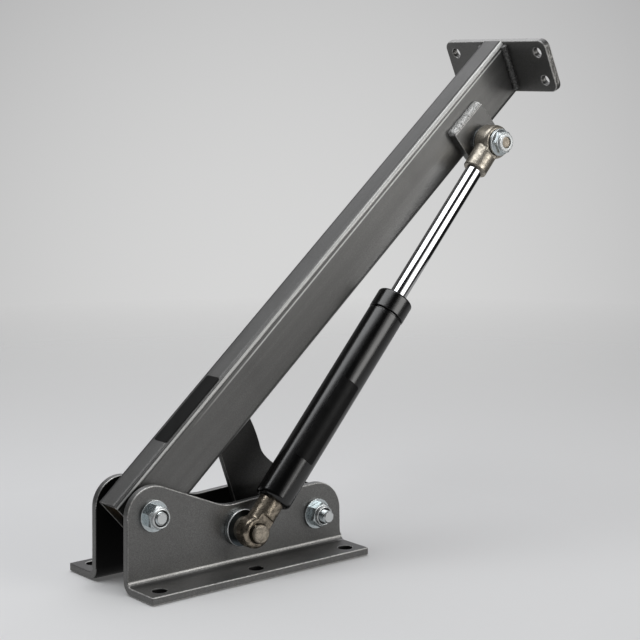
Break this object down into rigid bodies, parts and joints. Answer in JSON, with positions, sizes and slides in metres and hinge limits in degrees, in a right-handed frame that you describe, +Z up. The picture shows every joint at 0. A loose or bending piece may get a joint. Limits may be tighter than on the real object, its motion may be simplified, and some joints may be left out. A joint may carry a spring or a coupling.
{
  "type": "bed lift mechanism",
  "caption": "Hinged lifting arm of rectangular tube between two angle brackets, raised by a gas spring, with a stop plate at the raised limit and a bolting plate at its end.",
  "frame": {"origin": "centre of the six foot holes, on the underside of the feet", "axes": "+Z up out of the mounting plane, +X along the feet towards the side to which the arm rises, gas spring on the -Y side"},
  "size_m": [0.4151, 0.12, 0.4016],
  "materials": {
    "coated_steel": "satin textured powder coat",
    "zinc": "bright zinc plate",
    "raw_forging": "bare forged steel, dull",
    "plain_steel": "machined",
    "black_gloss": "gloss black paint",
    "rod_chrome": "hard chrome, polished",
    "bearing_bronze": "sintered bronze",
    "black_nylon": "matt",
    "seal_rubber": "matt",
    "label_film": "blank black film"
  },
  "bodies": {
    "base": {"front_bracket": "coated_steel", "rear_bracket": "coated_steel", "pivot_bolt": "zinc", "pivot_nut": "zinc", "pivot_washers": "zinc", "pivot_spacers": "black_nylon", "stop_bolt": "zinc", "stop_nut": "zinc", "stop_washers": "zinc", "stop_sleeve": "plain_steel", "lower_pin": "raw_forging", "lower_pin_washer": "zinc", "lower_pin_nut": "zinc", "lower_pin_clip": "plain_steel"},
    "arm": {"arm_tube": "coated_steel", "pivot_bush": "bearing_bronze", "end_plate": "coated_steel", "stop_plate": "coated_steel", "spring_lug": "coated_steel", "upper_stud": "raw_forging", "upper_washer": "zinc", "upper_nut": "zinc", "weld_beads": "coated_steel", "arm_label": "label_film"},
    "strut": {"lower_eye": "raw_forging", "barrel": "black_gloss", "barrel_plug": "plain_steel", "rod_guide": "bearing_bronze", "rod_seal": "seal_rubber", "head_cap": "black_gloss", "barrel_label": "label_film"},
    "rod": {"piston_rod": "rod_chrome", "piston": "plain_steel", "piston_ring": "seal_rubber", "piston_nut": "plain_steel", "upper_eye": "raw_forging"}
  },
  "joints": [
    {"name": "arm_lift", "type": "hinge", "parent": "base", "child": "arm", "pos_m": [-0.077, 0, 0.056], "axis": [0, 1, 0], "range_deg": [0, 23], "stiffness_Nm_per_rad": 10, "springref_deg": -85.94},
    {"name": "strut_swing", "type": "hinge", "parent": "base", "child": "strut", "pos_m": [0.001, -0.04175, 0.0335], "axis": [0, 1, 0], "range_deg": [0, 26.5]},
    {"name": "rod_slide", "type": "slide", "parent": "strut", "child": "rod", "axis": [0.6749, 0.0295, 0.7373], "range_m": [-0.0262, 0]}
  ],
  "couplings": [
    {"joint": "strut_swing", "follows": "arm_lift", "ratio": 1.13},
    {"joint": "rod_slide", "follows": "arm_lift", "m_per_rad": -0.0641}
  ]
}
